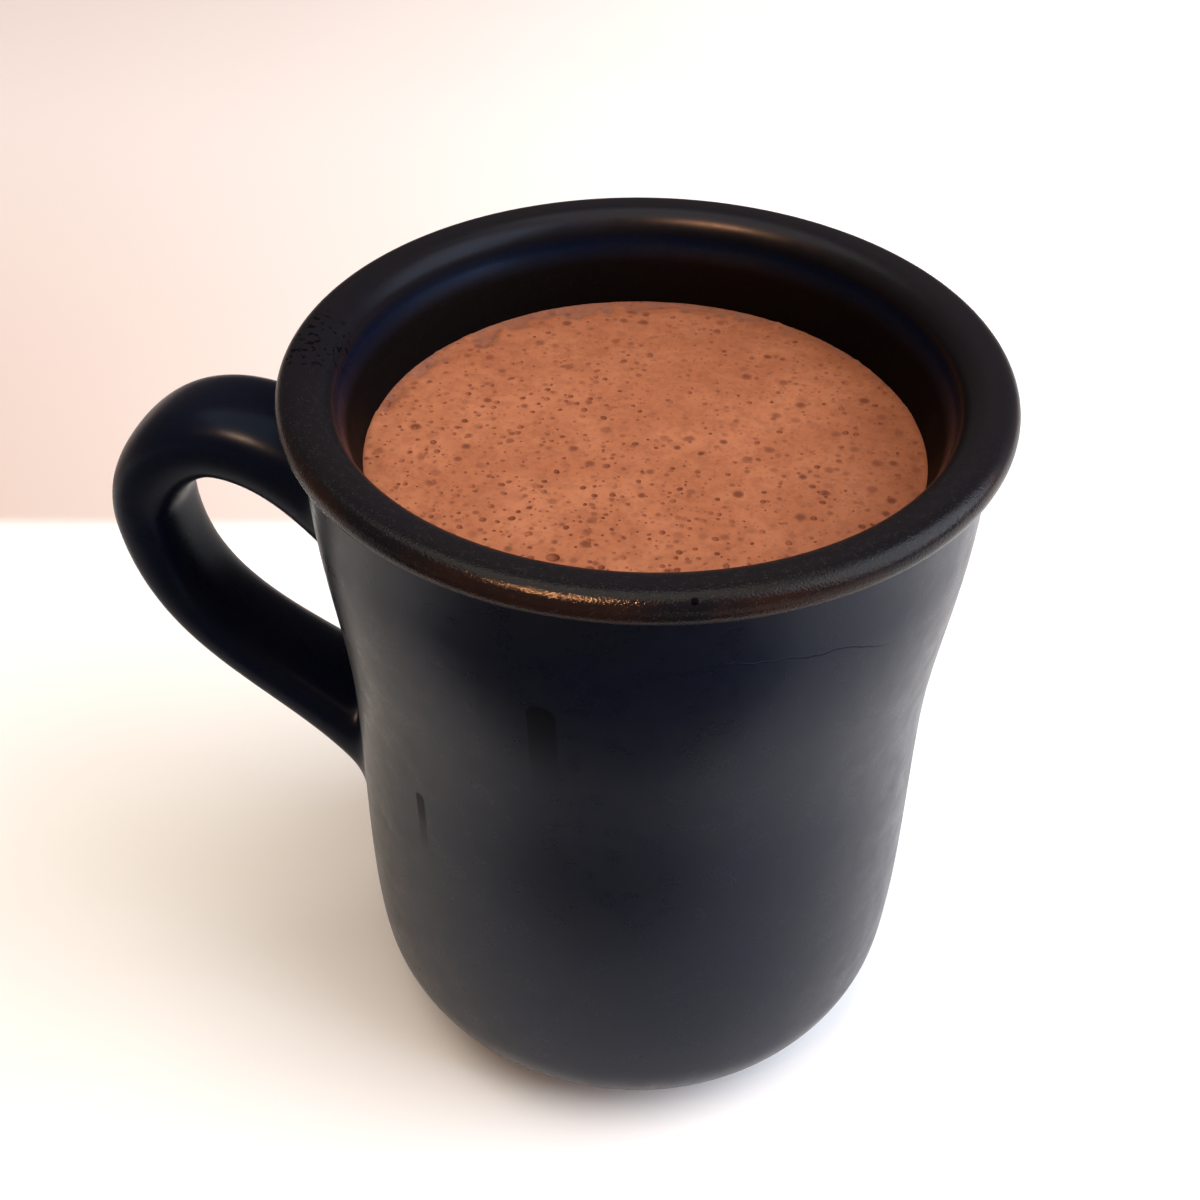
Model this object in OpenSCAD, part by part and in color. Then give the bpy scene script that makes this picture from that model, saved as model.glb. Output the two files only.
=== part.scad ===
// Hot chocolate in a heavy glazed stoneware mug with a rolled rim and a looped
// handle. The origin is the centre of the foot on the table, +Z is up, and the
// handle points along -X. Sizes are in millimetres.

/* [Overall] */
// Diameter of the rim at its widest
rim_d = 88; // [74:1:106]
// Height of the mug, from the table to the top of the rim
mug_h = 106; // [88:1:128]
// Depth of the drink's surface below the top of the rim
fill_gap = 11.6; // [6:0.2:40]

/* [Rim] */
// Radius of the rim's outer rounding
rim_round = 2.1; // [1.5:0.1:3]
// How far that rounding turns under, in degrees below level
rim_undercut = 48; // [10:1:70]
// Step from the rim's crease in to the wall
rim_step = 1.3; // [0.5:0.1:2]
// Width of the rim, from its widest circle to the throat
rim_w = 6.8; // [6.4:0.1:9]
// Radius of the rim's inner rounding
rim_in_round = 3.2; // [1:0.1:3.4]

/* [Wall outside] */
// How much the neck flares out from the waist
flare_w = 2.45; // [0:0.05:5]
// Depth of the flare's upper end below the top of the rim
flare_top = 13; // [8:0.5:16]
// Height of the flare, whose lower end is the waist
flare_h = 34; // [20:0.5:38]
// How much the neck still widens between the flare and the rim
neck_w = 0.45; // [0:0.05:1]
// Height of the belly, the widest place of the lower wall
belly_z = 27; // [22:0.5:32]
// How much the belly stands out from the waist
belly_w = 0.5; // [0:0.05:2]
// How much the wall draws in from the belly to the base's rounding
base_in = 0.35; // [0:0.05:2]
// Radius of the rounding between wall and base
base_round = 15; // [8:0.5:18]

/* [Foot] */
// Outer diameter of the foot ring
foot_d = 53; // [44:1:56]
// Width of the foot ring
foot_w = 5.5; // [3:0.5:9]
// Height of the foot ring below the base
foot_h = 1; // [0.5:0.1:2]
// Depth of the hollow inside the foot ring
foot_hollow = 2; // [1:0.1:3]

/* [Inside] */
// Thickness of the floor above the foot's hollow
floor_t = 7; // [5:0.5:10]
// Radius of the rounding between floor and inner wall
floor_round = 12; // [4:0.5:18]
// Depth below the top of the rim where the bore starts to widen to the throat
throat_h = 22; // [18:0.5:26]
// How much narrower the bore is there than at the throat
bore_in = 3; // [2:0.1:5]
// How much narrower again the bore is at the floor
bore_draft = 1.5; // [0:0.1:3]

/* [Handle] */
// Depth of the handle's crown below the top of the rim, at its middle line
crown_drop = 17.6; // [15:0.2:22]
// Distance of the crown from the waist
crown_out = 16.7; // [13:0.1:20]
// Distance from the waist to the middle line at its furthest
reach_out = 29.7; // [25:0.1:36]
// Depth of the furthest place below the crown
reach_drop = 13; // [10:0.5:18]
// Depth of the upper root below the crown
root_drop = 11.5; // [6:0.5:14]
// Rise of the handle out of its upper root, in degrees
root_rise = 26; // [0:1:40]
// Height of the lower root
tail_z = 32; // [26:0.5:36]
// Slope of the handle into its lower root, in degrees
tail_slope = 58; // [40:1:70]
// Width of the handle at its upper root
root_w = 18.2; // [15:0.1:22]
// Width of the handle a third of the way down it, at the upper grip
upper_w = 15.2; // [12:0.1:20]
// Width of the handle two thirds of the way down it, at the lower grip
lower_w = 15.1; // [12:0.1:20]
// Width of the handle at its lower root
tail_w = 19.9; // [15:0.1:24]
// Thickness of the handle at its upper root
root_t = 13.2; // [9:0.1:15]
// Thickness of the handle at the upper grip
upper_t = 10.4; // [7:0.1:13]
// Thickness of the handle at the lower grip
lower_t = 8.1; // [6:0.1:12]
// Thickness of the handle at its lower root
tail_t = 12.6; // [8:0.1:15]
// Squareness of the handle's section, where 2 is an ellipse
squareness = 2.5; // [2:0.1:4]

/* [Hidden] */
$fn = 96;

// Degrees between the points of a rounding, and steps along a wall
arc_step = 7.5;
wall_steps = 9;
// Steps along each of the handle's three curves, and points round its section
root_steps = 9;
bend_steps = 9;
grip_steps = 18;
section_points = 20;
// How far the ends of the handle's middle line lie inside the wall
root_sink = 4.4;
tail_sink = 5.5;
// How far the handle's curves keep to their tangents, in order from the upper root
root_pull = 2.5;
crown_pull = [11.3, 6.8];
reach_pull = [4.5, 25.75];
tail_pull = 19.9;
// Height of the bore's cutter above the rim
cut_over = 2;

rim_r = rim_d / 2;
crease_r = rim_r - rim_round + rim_round * cos(rim_undercut);
crease_z = mug_h - rim_round - rim_round * sin(rim_undercut);
neck_r = crease_r - rim_step;
waist_r = neck_r - neck_w - flare_w;
belly_r = waist_r + belly_w;
base_r = belly_r - base_in;
base_z = foot_h + base_round;
flare_top_z = mug_h - flare_top;
waist_z = flare_top_z - flare_h;
foot_r = foot_d / 2;
throat_r = rim_r - rim_w;
throat_z = mug_h - rim_in_round;
bore_r = throat_r - bore_in;
bore_z = mug_h - throat_h;
floor_r = bore_r - bore_draft;
floor_z = foot_hollow + floor_t;
fill_z = mug_h - fill_gap;
crown_z = mug_h - crown_drop;
root_z = crown_z - root_drop;

function mix(a, b, t) = a + (b - a) * t;
function ease(t) = t * t * (3 - 2 * t);
// Points of a circular arc, both ends included
function arc(x, y, r, from, to) =
    let (n = ceil(abs(to - from) / arc_step))
    [for (i = [0:n]) let (a = mix(from, to, i / n)) [x + r * cos(a), y + r * sin(a)]];
// Heights from one level to the next, both ends included
function levels(from, to) = [for (i = [0:wall_steps]) mix(from, to, i / wall_steps)];

// Radius of the wall's outside at height z, from the base's rounding to the crease
function wall_r(z) =
    z < belly_z ? belly_r - base_in * pow((belly_z - z) / (belly_z - base_z), 2)
    : z < waist_z ? belly_r - belly_w * ease((z - belly_z) / (waist_z - belly_z))
    : z < flare_top_z ? waist_r + flare_w * ease((z - waist_z) / flare_h)
    : waist_r + flare_w
        + neck_w * pow((z - flare_top_z) / (crease_z - flare_top_z), 2);

// Radius of the bore at height z, from the floor's rounding to the throat
function inner_r(z) =
    z < bore_z ? mix(floor_r, bore_r, (z - floor_z) / (bore_z - floor_z))
    : bore_r + bore_in * pow((z - bore_z) / (throat_z - bore_z), 3);

// Outline of the mug without its bore, from the axis round to the axis
module body_outline() {
    corner_r = base_r - base_round;
    foot_turn = -acos(max(0, foot_r - corner_r) / base_round);
    polygon(concat(
        [[0, foot_hollow], [foot_r - foot_w - foot_hollow, foot_hollow]],
        [[foot_r - foot_w, 0], [foot_r, 0], [foot_r, foot_h / 2]],
        arc(corner_r, base_z, base_round, foot_turn, 0),
        [for (z = levels(base_z, belly_z)) if (z > base_z) [wall_r(z), z]],
        [for (z = levels(belly_z, waist_z)) if (z > belly_z) [wall_r(z), z]],
        [for (z = levels(waist_z, flare_top_z)) if (z > waist_z) [wall_r(z), z]],
        [[neck_r, crease_z]],
        arc(rim_r - rim_round, mug_h - rim_round, rim_round, -rim_undercut, 90),
        [[0, mug_h]]
    ));
}

// Outline of the space inside the mug, up to the height top
function bore_outline(top) =
    let (
        corner_top = floor_z + floor_round,
        corner_r = inner_r(corner_top),
        side = concat(
            [for (z = levels(corner_top, bore_z)) [inner_r(z), z]],
            [for (z = levels(bore_z, fill_z)) [inner_r(z), z]],
            [for (z = levels(fill_z, throat_z)) [inner_r(z), z]]
        )
    )
    concat(
        [[0, floor_z]],
        [for (p = arc(corner_r - floor_round, corner_top, floor_round, -90, 0))
            if (p[1] < corner_top) p],
        [for (i = [0:len(side) - 1])
            if (side[i][1] <= top && (i == 0 || side[i][1] > side[i - 1][1])) side[i]]
    );

// The space inside the mug, open at the top, which cuts the mug
module bore() {
    rotate_extrude() polygon(concat(
        bore_outline(throat_z),
        arc(throat_r + rim_in_round, throat_z, rim_in_round, 180, 90),
        [[throat_r + rim_in_round, mug_h + cut_over], [0, mug_h + cut_over]]
    ));
}

// A point of a cubic curve from a to d, with the control points b and c
function curve_point(a, b, c, d, t) =
    pow(1 - t, 3) * a + 3 * pow(1 - t, 2) * t * b + 3 * (1 - t) * t * t * c + t * t * t * d;
function curve(a, b, c, d, steps) =
    [for (i = [1:steps]) curve_point(a, b, c, d, i / steps)];

// The handle's middle line as [distance from the axis, height], from the upper root
function middle_line() =
    let (
        root = [wall_r(root_z) - root_sink, root_z],
        crown = [waist_r + crown_out, crown_z],
        reach = [waist_r + reach_out, crown_z - reach_drop],
        tail = [wall_r(tail_z) - tail_sink, tail_z]
    )
    concat(
        [root],
        curve(root, root + root_pull * [cos(root_rise), sin(root_rise)],
            crown - [crown_pull[0], 0], crown, root_steps),
        curve(crown, crown + [crown_pull[1], 0],
            reach + [0, reach_pull[0]], reach, bend_steps),
        curve(reach, reach - [0, reach_pull[1]],
            tail + tail_pull * [cos(tail_slope), sin(tail_slope)], tail, grip_steps)
    );

// The smooth curve through four values at 0, 1/3, 2/3 and 1
function through(v, t) =
    let (a = 3 * t - 1, b = 3 * t - 2, c = 3 * t - 3)
    -v[0] * a * b * c / 6 + v[1] * 3 * t * b * c / 2
    - v[2] * 3 * t * a * c / 2 + v[3] * 3 * t * a * b / 6;
function rounded(x) = sign(x) * pow(abs(x), 2 / squareness);

module handle() {
    line = middle_line();
    last = len(line) - 1;
    run = [for (i = 0, s = 0; i <= last;
        s = s + (i < last ? norm(line[i + 1] - line[i]) : 0), i = i + 1) s];
    points = [for (i = [0:last])
        let (
            along = line[min(i + 1, last)] - line[max(i - 1, 0)],
            out = [-along[1], along[0]] / norm(along),
            share = run[i] / run[last],
            width = through([root_w, upper_w, lower_w, tail_w], share),
            thick = through([root_t, upper_t, lower_t, tail_t], share)
        )
        for (k = [0:section_points - 1])
            let (
                a = 360 * k / section_points,
                p = line[i] + out * rounded(cos(a)) * thick / 2
            )
            [-p[0], rounded(sin(a)) * width / 2, p[1]]
    ];
    sides = [for (i = [0:last - 1], k = [0:section_points - 1])
        let (
            here = i * section_points,
            next = here + section_points,
            k2 = (k + 1) % section_points
        )
        each [[here + k, next + k2, here + k2], [here + k, next + k, next + k2]]
    ];
    first_end = [for (k = [0:section_points - 1]) k];
    last_end = [for (k = [section_points - 1:-1:0]) last * section_points + k];
    polyhedron(points, concat(sides, [first_end, last_end]));
}

// Glazed mug, body and handle in one piece
module mug() {
    color("#24262c")
    difference() {
        union() {
            rotate_extrude() body_outline();
            handle();
        }
        bore();
    }
}

// The drink, which fills the bore up to its level
module hot_chocolate() {
    color("#b0704c")
    rotate_extrude() polygon(concat(bore_outline(fill_z), [[0, fill_z]]));
}

mug();
hot_chocolate();
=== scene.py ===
"""A heavy stoneware mug filled with frothy hot chocolate.

The mug is turned from its outline, its handle is pulled along a curve and joined to the wall,
and the drink is a solid whose froth is opened by bubbles.
"""

import math
import random

import bmesh
import bpy
from bpy.props import FloatProperty, FloatVectorProperty, IntProperty, PointerProperty
from mathutils import Euler, Matrix, Vector, noise


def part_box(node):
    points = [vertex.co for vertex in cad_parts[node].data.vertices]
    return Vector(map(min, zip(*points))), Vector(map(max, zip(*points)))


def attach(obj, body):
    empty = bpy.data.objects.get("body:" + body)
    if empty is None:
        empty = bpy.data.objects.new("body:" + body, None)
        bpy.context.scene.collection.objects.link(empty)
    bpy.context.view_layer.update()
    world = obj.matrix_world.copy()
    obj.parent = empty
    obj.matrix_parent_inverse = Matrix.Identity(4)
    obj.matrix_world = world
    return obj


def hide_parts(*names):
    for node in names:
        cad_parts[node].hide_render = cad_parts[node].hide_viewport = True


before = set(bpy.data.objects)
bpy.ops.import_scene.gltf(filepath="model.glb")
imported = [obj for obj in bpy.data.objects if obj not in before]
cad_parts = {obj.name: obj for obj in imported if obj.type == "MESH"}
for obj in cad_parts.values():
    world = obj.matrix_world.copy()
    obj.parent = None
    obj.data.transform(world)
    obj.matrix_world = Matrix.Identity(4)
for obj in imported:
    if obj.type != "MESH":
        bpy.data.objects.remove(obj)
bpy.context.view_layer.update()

bl_info = {
    "name": "Hot Chocolate in a Mug",
    "version": (1, 0, 0),
    "blender": (4, 5, 0),
    "location": "3D View > Sidebar > Hot Chocolate",
    "description": "Builds a glazed mug of frothy hot chocolate and its studio",
    "category": "Add Mesh",
}

MM = 0.001
# The upper corners of the two pieces' boxes in the frame
MUG_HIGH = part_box("mug")[1]
DRINK_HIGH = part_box("hot_chocolate")[1]


def length(name, description, millimetres):
    """A length property, given in millimetres and kept in metres."""
    return FloatProperty(name=name, description=description, default=millimetres * MM,
                         unit="LENGTH", subtype="DISTANCE", precision=5)


def angle(name, description, degrees):
    """An angle property, given in degrees."""
    return FloatProperty(name=name, description=description, default=math.radians(degrees),
                         unit="ROTATION", subtype="ANGLE")


def linear(code):
    """The linear colour, with alpha, of an sRGB hex code such as '#1a2b3c'."""
    channels = [int(code[i:i + 2], 16) / 255 for i in (1, 3, 5)]
    return [c / 12.92 if c <= 0.04045 else ((c + 0.055) / 1.055) ** 2.4 for c in channels] + [1]


def colour(name, description, code):
    """A colour property, given as an sRGB hex code."""
    return FloatVectorProperty(name=name, description=description, size=4, min=0, max=1,
                               subtype="COLOR", default=linear(code))


class MugSizes(bpy.types.PropertyGroup):
    """Sizes of the mug's turned body."""

    rim_r: length("Rim radius", "Radius of the rim at its widest", MUG_HIGH.y / MM)
    height: length("Height", "Height of the mug above the table", MUG_HIGH.z / MM)
    rim_round: length("Rim rounding", "Radius of the rim's outer rounding", 2.1)
    rim_undercut: angle("Rim undercut", "How far the rounding turns under the rim", 48)
    rim_step: length("Rim step", "Step from the rim's crease in to the wall", 1.3)
    rim_w: length("Rim width", "From the rim's widest circle to the throat", 6.8)
    rim_in_round: length("Inner rounding", "Radius of the rim's inner rounding", 3.2)
    flare_w: length("Flare", "How much the neck flares out from the waist", 2.45)
    flare_top: length("Flare top", "Depth of the flare's upper end below the rim", 13)
    flare_h: length("Flare height", "Height of the flare above the waist", 34)
    neck_w: length("Neck", "How much the neck still widens above the flare", 0.45)
    belly_z: length("Belly height", "Height of the widest place of the lower wall", 27)
    belly_w: length("Belly", "How much the belly stands out from the waist", 0.5)
    base_in: length("Base draw", "How much the wall draws in below the belly", 0.35)
    base_round: length("Base rounding", "Radius of the rounding between wall and base", 15)
    foot_r: length("Foot radius", "Outer radius of the foot ring", 26.5)
    foot_w: length("Foot width", "Width of the foot ring", 5.5)
    foot_h: length("Foot height", "Height of the foot ring below the base", 1)
    foot_hollow: length("Foot hollow", "Depth of the hollow inside the foot ring", 2)
    floor_t: length("Floor", "Thickness of the floor above the hollow", 7)
    floor_round: length("Floor rounding", "Rounding between floor and inner wall", 12)
    throat_h: length("Throat", "Depth below the rim where the bore starts to widen", 22)
    bore_in: length("Bore", "How much narrower the bore is there than at the throat", 3)
    bore_draft: length("Bore draft", "How much narrower again the bore is at the floor", 1.5)
    sides: IntProperty(name="Sides", description="Faces round the body before smoothing",
                       default=64)
    smoothing: IntProperty(name="Smoothing", description="Subdivision of the mug", default=2)


class HandleSizes(bpy.types.PropertyGroup):
    """Sizes of the looped handle, which points along -X."""

    crown_drop: length("Crown drop", "Depth of the crown's middle line below the rim", 17.6)
    crown_out: length("Crown reach", "Distance of the crown from the waist", 16.7)
    reach_out: length("Reach", "Distance of the furthest middle line from the waist", 29.7)
    reach_drop: length("Reach drop", "Depth of the furthest place below the crown", 13)
    root_drop: length("Root drop", "Depth of the upper root below the crown", 11.5)
    root_rise: angle("Root rise", "Rise of the handle out of its upper root", 26)
    tail_z: length("Tail height", "Height of the lower root", 32)
    tail_slope: angle("Tail slope", "Slope of the handle into its lower root", 58)
    root_sink: length("Root sink", "How deep the upper end starts in the wall", 4.4)
    tail_sink: length("Tail sink", "How deep the lower end stops in the wall", 5.5)
    root_w: length("Root width", "Width at the upper root", 18.2)
    upper_w: length("Upper width", "Width at the upper grip", 15.2)
    lower_w: length("Lower width", "Width at the lower grip", 15.1)
    tail_w: length("Tail width", "Width at the lower root", 19.9)
    root_t: length("Root thickness", "Thickness at the upper root", 13.2)
    upper_t: length("Upper thickness", "Thickness at the upper grip", 10.4)
    lower_t: length("Lower thickness", "Thickness at the lower grip", 8.1)
    tail_t: length("Tail thickness", "Thickness at the lower root", 12.6)
    squareness: FloatProperty(name="Squareness", default=2.5,
                              description="Squareness of the section, where 2 is an ellipse")
    root_fillet: length("Root fillet", "Size of the fillet round the upper root", 1.6)
    tail_fillet: length("Tail fillet", "Size of the fillet round the lower root", 1.5)
    rings: IntProperty(name="Rings", description="Sections along the handle", default=30)


class FrothSizes(bpy.types.PropertyGroup):
    """Sizes of the froth on the drink."""

    level: length("Level", "Height of the froth's surface", DRINK_HIGH.z / MM)
    cell: length("Cell", "Spacing of the froth's mesh", 0.55)
    bite: length("Bite", "How far the drink reaches into the wall, so that no gap shows", 0.15)
    swell: length("Swell", "Height of the froth's slow unevenness", 0.22)
    lift: length("Lift", "How far the froth stands above the bare liquid at its edge", 0.3)
    margin: length("Bare edge", "Widest strip of bare liquid, at the back of the cup", 4.2)
    small: length("Small bubble", "Diameter of the smallest bubbles", 0.36)
    large: length("Large bubble", "Diameter of the largest common bubbles", 1.1)
    bubbles: IntProperty(name="Bubbles", description="Number of open bubbles", default=560)
    seed: IntProperty(name="Seed", description="Seed of the bubbles' places", default=11)


class Finish(bpy.types.PropertyGroup):
    """Main colours of the mug and the drink."""

    glaze: colour("Glaze", "Satin black glaze", "#0a0d1a")
    glaze_warm: colour("Thin glaze", "Glaze that ran thin over an edge", "#30190f")
    speck: colour("Speck", "Fine specks in the glaze", "#57544a")
    clay: colour("Clay", "Bare fired clay of the foot ring", "#8f7a66")
    froth: colour("Froth", "Milky cocoa froth", "#995937")
    froth_pale: colour("Pale froth", "Froth with the finest bubbles", "#a56441")
    cocoa: colour("Cocoa", "Darker cocoa between and inside the bubbles", "#632f19")
    film: colour("Film", "Thin brown film along the back edge", "#6e4535")


class StageSizes(bpy.types.PropertyGroup):
    """The camera's place and the table top's colour."""

    distance: length("Distance", "Distance of the camera from the cup's axis", 158.14)
    camera_z: length("Camera height", "Height of the camera above the floor", 205.2)
    side: angle("Side", "How far the camera stands to the right of straight ahead", 10)
    turn: angle("Turn", "How far the camera turns to the left", 11.96)
    pitch: angle("Pitch", "How far the camera looks down", 40.9)
    roll: angle("Roll", "How far the camera leans", 0.33)
    lens: FloatProperty(name="Lens", description="Focal length on a 36 mm sensor", default=46.55,
                        unit="CAMERA")
    floor: colour("Floor", "Pale table top", "#fcf7ec")


# ---------------------------------------------------------------- outlines

def mix(a, b, t):
    return a + (b - a) * t


def ease(t):
    t = min(max(t, 0), 1)
    return t * t * (3 - 2 * t)


def spread(a, b, steps):
    """Evenly spaced values from a to b, both included."""
    return [mix(a, b, i / steps) for i in range(steps + 1)]


def arc(x, z, radius, start, end, steps):
    """Points of a circular arc, with its angles in degrees."""
    angles = [math.radians(a) for a in spread(start, end, steps)]
    return [(x + radius * math.cos(a), z + radius * math.sin(a)) for a in angles]


class MugForm:
    """The radii and heights that follow from the mug's sizes."""

    def __init__(self, s):
        self.s = s
        self.crease_r = s.rim_r - s.rim_round * (1 - math.cos(s.rim_undercut))
        self.crease_z = s.height - s.rim_round * (1 + math.sin(s.rim_undercut))
        self.neck_r = self.crease_r - s.rim_step
        self.waist_r = self.neck_r - s.neck_w - s.flare_w
        self.belly_r = self.waist_r + s.belly_w
        self.base_r = self.belly_r - s.base_in
        self.base_z = s.foot_h + s.base_round
        self.flare_top_z = s.height - s.flare_top
        self.waist_z = self.flare_top_z - s.flare_h
        self.throat_r = s.rim_r - s.rim_w
        self.throat_z = s.height - s.rim_in_round
        self.bore_r = self.throat_r - s.bore_in
        self.bore_z = s.height - s.throat_h
        self.floor_r = self.bore_r - s.bore_draft
        self.floor_z = s.foot_hollow + s.floor_t

    def wall_r(self, z):
        """Radius of the wall's outside at height z."""
        s = self.s
        if z < s.belly_z:
            return self.belly_r - s.base_in * ((s.belly_z - z) / (s.belly_z - self.base_z)) ** 2
        if z < self.waist_z:
            return self.belly_r - s.belly_w * ease((z - s.belly_z) / (self.waist_z - s.belly_z))
        if z < self.flare_top_z:
            return self.waist_r + s.flare_w * ease((z - self.waist_z) / s.flare_h)
        rise = (z - self.flare_top_z) / (self.crease_z - self.flare_top_z)
        return self.waist_r + s.flare_w + s.neck_w * rise ** 2

    def bore_at(self, z):
        """Radius of the inside at height z, above the floor's rounding."""
        if z < self.bore_z:
            rise = (z - self.floor_z) / (self.bore_z - self.floor_z)
            return mix(self.floor_r, self.bore_r, rise)
        rise = (z - self.bore_z) / (self.throat_z - self.bore_z)
        return self.bore_r + self.s.bore_in * rise ** 3

    def underside(self):
        """From the middle of the underside to the foot ring's outer edge."""
        s = self.s
        inner_r = s.foot_r - s.foot_w
        hollow_r = inner_r - s.foot_hollow
        edge = 0.3 * MM
        return [(hollow_r * 0.35, s.foot_hollow), (hollow_r * 0.75, s.foot_hollow),
                (hollow_r - edge, s.foot_hollow), (hollow_r + edge, s.foot_hollow - edge),
                (inner_r - edge, edge), (inner_r + edge, 0), (inner_r + 3 * edge, 0),
                (s.foot_r - 4 * edge, 0), (s.foot_r - edge, 0), (s.foot_r, edge)]

    def base(self):
        """The rounding from the foot ring up to the wall."""
        s = self.s
        corner_r = self.base_r - s.base_round
        start = -math.degrees(math.acos((s.foot_r - corner_r) / s.base_round))
        return arc(corner_r, self.base_z, s.base_round, start, 0, 8)[:-1]

    def rim(self):
        """From the crease under the lip, over the rim, to the throat."""
        s = self.s
        top = s.height
        undercut = math.degrees(s.rim_undercut)
        outer = arc(s.rim_r - s.rim_round, top - s.rim_round, s.rim_round, -undercut, 90, 7)
        inner = arc(self.throat_r + s.rim_in_round, self.throat_z, s.rim_in_round, 90, 180, 6)
        return [(self.neck_r, self.crease_z - 0.5 * MM),
                (self.neck_r + 0.35 * MM, self.crease_z - 0.05 * MM)] + outer + inner

    def inside(self):
        """From the throat down to the middle of the floor."""
        s = self.s
        corner_z = self.floor_z + s.floor_round
        corner_r = self.bore_at(corner_z)
        heights = spread(self.throat_z, self.bore_z, 9)[1:]
        heights += spread(self.bore_z, corner_z, 6)[1:-1]
        corner = arc(corner_r - s.floor_round, corner_z, s.floor_round, 0, -90, 5)
        middle = [(corner_r * share, self.floor_z) for share in (0.4, 0.15)]
        return [(self.bore_at(z), z) for z in heights] + corner + middle


def bezier(a, b, c, d, t):
    return a * (1 - t) ** 3 + b * 3 * t * (1 - t) ** 2 + c * 3 * t * t * (1 - t) + d * t ** 3


def through(values, t):
    """The smooth curve through four values at 0, 1/3, 2/3 and 1."""
    a, b, c = 3 * t - 1, 3 * t - 2, 3 * t - 3
    v = values
    return (-v[0] * a * b * c + 3 * v[1] * 3 * t * b * c
            - 3 * v[2] * 3 * t * a * c + v[3] * 3 * t * a * b) / 6


class HandleForm:
    """The handle's middle line and the lines that run along its surface."""

    # Pieces of each curve, and steps of the search for the wall
    FINE = 60
    HALVINGS = 24

    def __init__(self, s, mug):
        self.s = s
        self.mug = mug
        crown_z = mug.s.height - s.crown_drop
        root_z = crown_z - s.root_drop
        root = Vector((mug.wall_r(root_z) - s.root_sink, root_z))
        crown = Vector((mug.waist_r + s.crown_out, crown_z))
        reach = Vector((mug.waist_r + s.reach_out, crown_z - s.reach_drop))
        tail = Vector((mug.wall_r(s.tail_z) - s.tail_sink, s.tail_z))
        rise = Vector((math.cos(s.root_rise), math.sin(s.root_rise)))
        slope = Vector((math.cos(s.tail_slope), math.sin(s.tail_slope)))
        # How far each curve keeps to its tangents, from the upper root to the lower
        pulls = [length_mm * MM for length_mm in (2.5, 11.3, 6.8, 4.5, 25.75, 19.9)]
        across, up = Vector((1, 0)), Vector((0, 1))
        curves = [
            (root, root + rise * pulls[0], crown - across * pulls[1], crown),
            (crown, crown + across * pulls[2], reach + up * pulls[3], reach),
            (reach, reach - up * pulls[4], tail + slope * pulls[5], tail),
        ]
        line = [root]
        for points in curves:
            line += [bezier(*points, i / self.FINE) for i in range(1, self.FINE + 1)]
        self.line = line
        self.run = [0]
        for here, after in zip(line, line[1:]):
            self.run.append(self.run[-1] + (after - here).length)

    def place(self, share):
        """Point and outward direction of the middle line at a share of its length."""
        target = share * self.run[-1]
        i = 0
        while i < len(self.line) - 2 and self.run[i + 1] < target:
            i += 1
        t = (target - self.run[i]) / (self.run[i + 1] - self.run[i])
        point = self.line[i].lerp(self.line[i + 1], t)
        low, high = max(i - 1, 0), min(i + 2, len(self.line) - 1)
        along = (self.line[high] - self.line[low]).normalized()
        return point, Vector((-along.y, along.x))

    def surface(self, share, turn):
        """Point of the surface at a share of the length and an angle round the section."""
        s = self.s
        point, out = self.place(share)
        width = through([s.root_w, s.upper_w, s.lower_w, s.tail_w], share)
        thick = through([s.root_t, s.upper_t, s.lower_t, s.tail_t], share)
        p = point + out * self.rounded(math.cos(turn)) * thick / 2
        return Vector((-p.x, self.rounded(math.sin(turn)) * width / 2, p.y))

    def rounded(self, x):
        return math.copysign(abs(x) ** (2 / self.s.squareness), x)

    def height_over_wall(self, share, turn):
        p = self.surface(share, turn)
        return math.hypot(p.x, p.y) - self.mug.wall_r(p.z)

    def crossing(self, turn, over, upper):
        """Share of the length where a line along the surface lies that far over the wall."""
        inside, outside = (0, 0.35) if upper else (1, 0.65)
        for _ in range(self.HALVINGS):
            middle = (inside + outside) / 2
            if self.height_over_wall(middle, turn) < over:
                inside = middle
            else:
                outside = middle
        return outside

    def footprint(self, turns, fillet, upper):
        """Where the fillet's outer edge lies on the wall, as points on the wall."""
        marks = [self.surface(self.crossing(turn, 0, upper), turn) for turn in turns]
        flat = [self.unroll(p) for p in marks]
        middle = sum(flat, Vector((0, 0))) / len(flat)
        return [self.roll(p + (p - middle).normalized() * fillet) for p in flat]

    def unroll(self, p):
        """Distance round the wall from -X, and height."""
        return Vector((math.atan2(p.y, -p.x) * self.mug.waist_r, p.z))

    def roll(self, flat):
        turn, radius = flat.x / self.mug.waist_r, self.mug.wall_r(flat.y)
        return Vector((-radius * math.cos(turn), radius * math.sin(turn), flat.y))


# ---------------------------------------------------------------- modelling

def deselect():
    bpy.ops.object.select_all(action="DESELECT")


def activate(piece):
    deselect()
    piece.select_set(True)
    bpy.context.view_layer.objects.active = piece


def added_object(name):
    """The object that was just added, under its name."""
    piece = bpy.context.object
    piece.name = name
    return piece


def apply_modifier(piece, kind, name, **settings):
    """Adds a modifier with its settings and applies it."""
    activate(piece)
    modifier = piece.modifiers.new(name, kind)
    for key, value in settings.items():
        setattr(modifier, key, value)
    bpy.ops.object.modifier_apply(modifier=modifier.name)


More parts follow.
